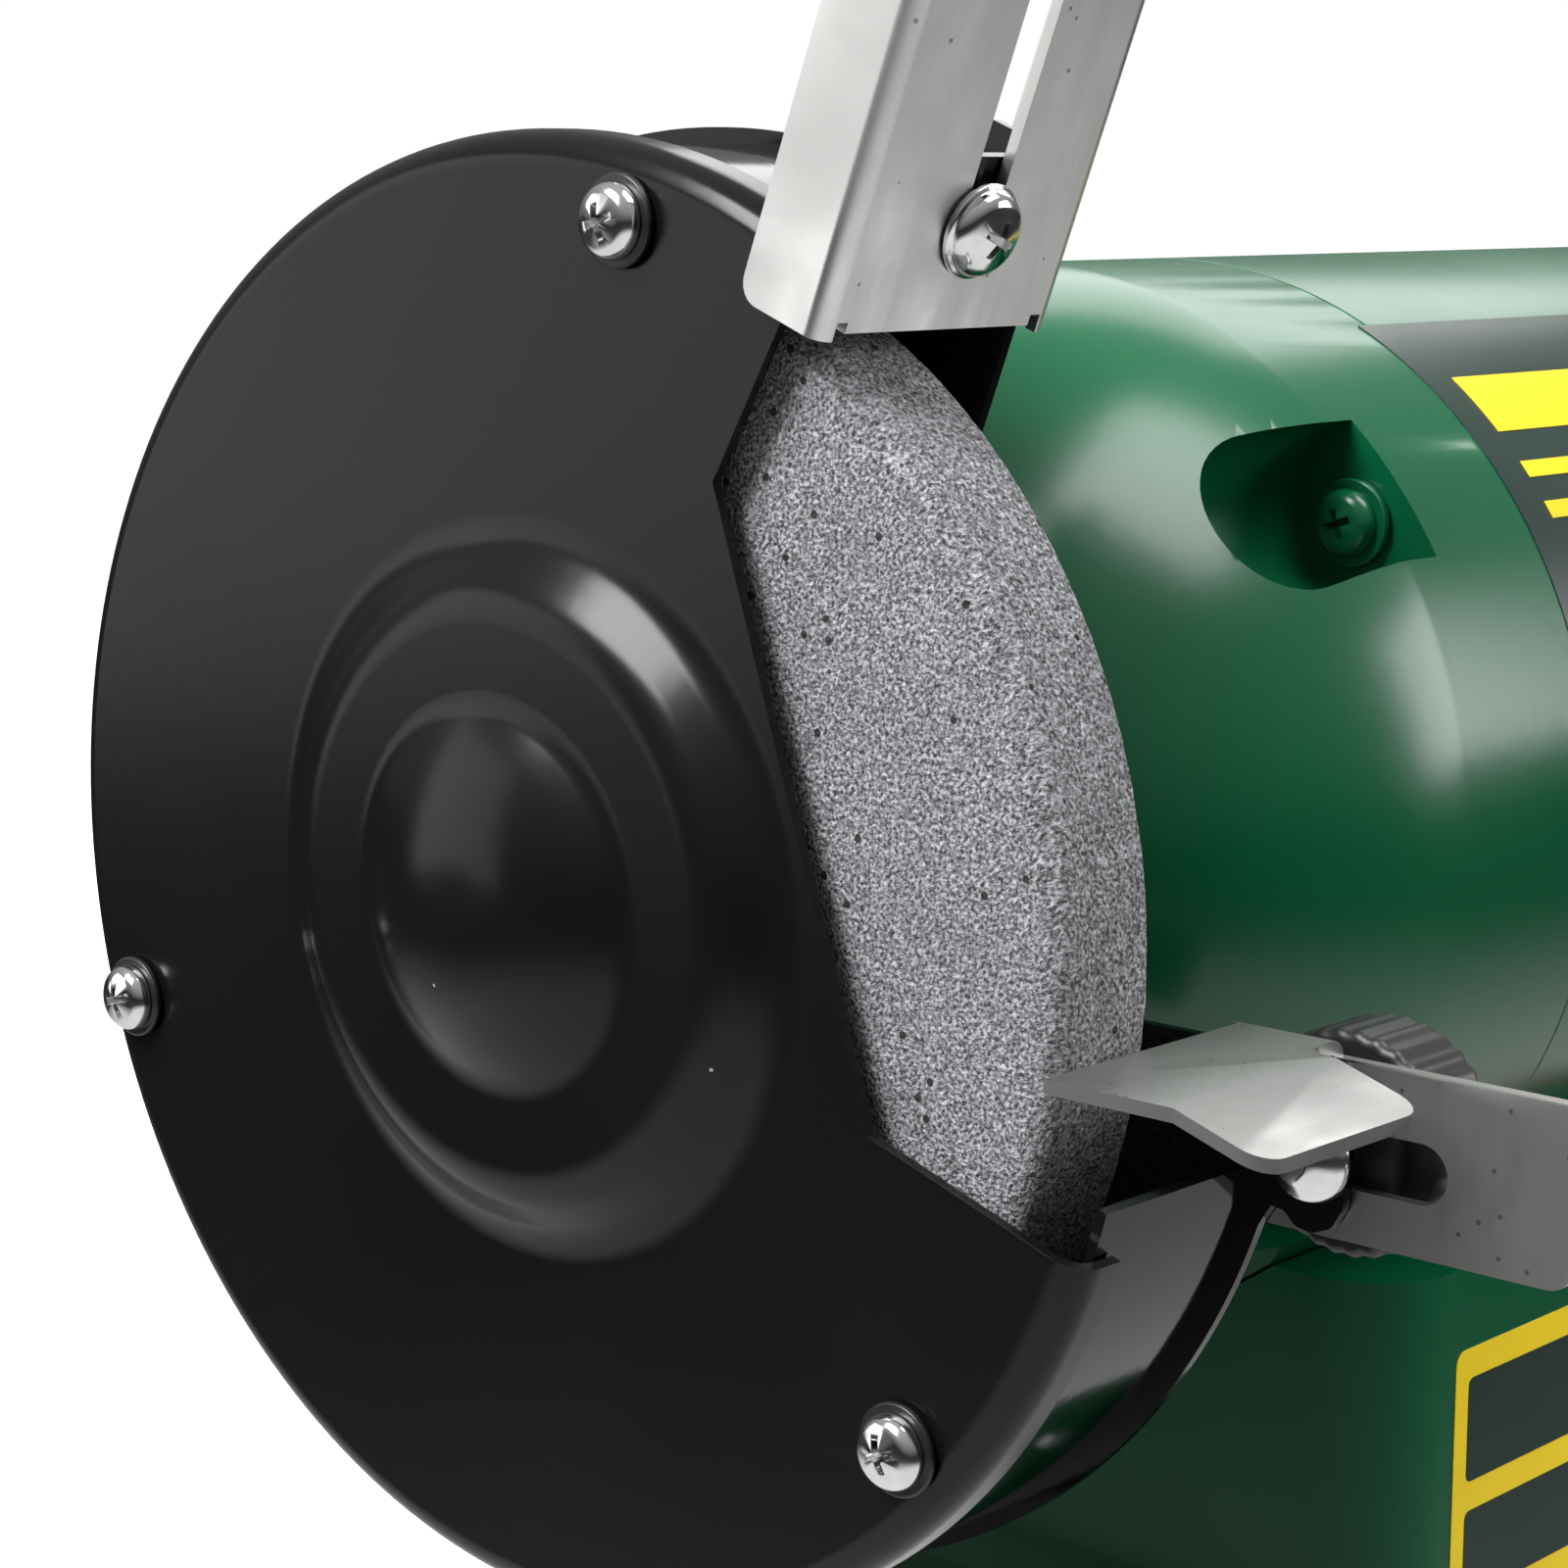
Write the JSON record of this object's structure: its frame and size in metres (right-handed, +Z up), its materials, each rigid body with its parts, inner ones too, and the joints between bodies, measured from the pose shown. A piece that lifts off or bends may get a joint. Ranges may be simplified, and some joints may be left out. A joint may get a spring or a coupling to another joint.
{
  "type": "bench grinder",
  "caption": "Double-ended bench grinder: green motor on a pedestal, guarded grinding wheels, adjustable tool rests, spark brackets and tilting eye shields.",
  "frame": {"origin": "on the bench, under the middle of the machine without its cord", "axes": "+X along the motor shaft, front faces -Y, +Z up"},
  "size_m": [0.4122, 0.3679, 0.2976],
  "materials": {
    "green_enamel": "gloss green enamel, smooth with a soft orange peel",
    "black_enamel": "semi-gloss black enamel with small chips at the cut edges",
    "abrasive": "coarse grey aluminium-oxide grit",
    "zinc_plate": "bright zinc plate with fine rolling streaks",
    "bright_screw": "bright polished plating",
    "machined_steel": "turned steel",
    "lamination": "stacked electrical steel",
    "copper_wire": "varnished copper windings",
    "clear_shield": "clear polycarbonate",
    "black_plastic": "moulded black plastic",
    "rocker_plastic": "glossy red plastic",
    "capacitor_can": "drawn aluminium can",
    "black_rubber": "matt black rubber"
  },
  "bodies": {
    "machine": {"base_pedestal": "green_enamel", "base_plate": "zinc_plate", "bearing_left": "machined_steel", "bearing_right": "machined_steel", "bracket_screw_left": "bright_screw", "bracket_screw_right": "bright_screw", "cord_coil": "black_rubber", "cord_gland": "black_rubber", "cover_screw_front_left": "bright_screw", "cover_screw_front_right": "bright_screw", "cover_screw_rear_left": "bright_screw", "cover_screw_rear_right": "bright_screw", "cover_screw_top_left": "bright_screw", "cover_screw_top_right": "bright_screw", "end_bell_left": "green_enamel", "end_bell_right": "green_enamel", "foot_left_front": "black_rubber", "foot_left_rear": "black_rubber", "foot_right_front": "black_rubber", "foot_right_rear": "black_rubber", "guard_cover_left": "black_enamel", "guard_cover_right": "black_enamel", "inner_guard_left": "black_enamel", "inner_guard_right": "black_enamel", "motor_barrel": "green_enamel", "plug": "black_plastic", "power_cord": "black_rubber", "rest_screw_left": "bright_screw", "rest_screw_right": "bright_screw", "run_capacitor": "capacitor_can", "stator_core": "lamination", "switch_body": "black_plastic", "through_bolt_front_lower": "green_enamel", "through_bolt_front_upper": "green_enamel", "through_bolt_rear_lower": "green_enamel", "through_bolt_rear_upper": "green_enamel", "winding_left": "copper_wire", "winding_right": "copper_wire"},
    "rotor": {"shaft": "machined_steel", "rotor_core": "lamination", "inner_flange_left": "machined_steel", "inner_flange_right": "machined_steel", "outer_flange_left": "machined_steel", "outer_flange_right": "machined_steel", "wheel_nut_left": "machined_steel", "wheel_nut_right": "machined_steel", "grinding_wheel_left": "abrasive", "grinding_wheel_right": "abrasive"},
    "rocker": {"switch_rocker": "rocker_plastic"},
    "spark_bracket_left": {"spark_bracket_left": "zinc_plate", "shield_bolt_left": "bright_screw"},
    "eye_shield_left": {"eye_shield_left": "clear_shield"},
    "tool_rest_left": {"tool_rest_left": "zinc_plate"},
    "rest_knob_left": {"rest_knob_left": "black_plastic"},
    "spark_bracket_right": {"spark_bracket_right": "zinc_plate", "shield_bolt_right": "bright_screw"},
    "eye_shield_right": {"eye_shield_right": "clear_shield"},
    "tool_rest_right": {"tool_rest_right": "zinc_plate"},
    "rest_knob_right": {"rest_knob_right": "black_plastic"}
  },
  "joints": [
    {"name": "rotor_spin", "type": "hinge", "parent": "machine", "child": "rotor", "pos_m": [0, 0.016, 0.127], "axis": [1, 0, 0], "continuous": true},
    {"name": "switch_rock", "type": "hinge", "parent": "machine", "child": "rocker", "pos_m": [0, -0.0438, 0.042], "axis": [1, 0, 0], "range_deg": [-20, 0]},
    {"name": "spark_bracket_slide_left", "type": "slide", "parent": "machine", "child": "spark_bracket_left", "axis": [0, -0.3665, 0.9304], "range_m": [-0.003, 0.0015]},
    {"name": "eye_shield_tilt_left", "type": "hinge", "parent": "spark_bracket_left", "child": "eye_shield_left", "pos_m": [-0.1681, -0.04814, 0.25435], "axis": [1, 0, 0], "range_deg": [-25, 60]},
    {"name": "tool_rest_slide_left", "type": "slide", "parent": "machine", "child": "tool_rest_left", "axis": [0, 1, 0], "range_m": [-0.004, 0.0015]},
    {"name": "rest_knob_turn_left", "type": "hinge", "parent": "machine", "child": "rest_knob_left", "pos_m": [-0.145, -0.0715, 0.1065], "axis": [1, 0, 0], "range_deg": [0, 360]},
    {"name": "spark_bracket_slide_right", "type": "slide", "parent": "machine", "child": "spark_bracket_right", "axis": [0, -0.3665, 0.9304], "range_m": [-0.003, 0.0015]},
    {"name": "eye_shield_tilt_right", "type": "hinge", "parent": "spark_bracket_right", "child": "eye_shield_right", "pos_m": [0.1681, -0.04814, 0.25435], "axis": [1, 0, 0], "range_deg": [-25, 60]},
    {"name": "tool_rest_slide_right", "type": "slide", "parent": "machine", "child": "tool_rest_right", "axis": [0, 1, 0], "range_m": [-0.004, 0.0015]},
    {"name": "rest_knob_turn_right", "type": "hinge", "parent": "machine", "child": "rest_knob_right", "pos_m": [0.145, -0.0715, 0.1065], "axis": [1, 0, 0], "range_deg": [0, 360]}
  ]
}
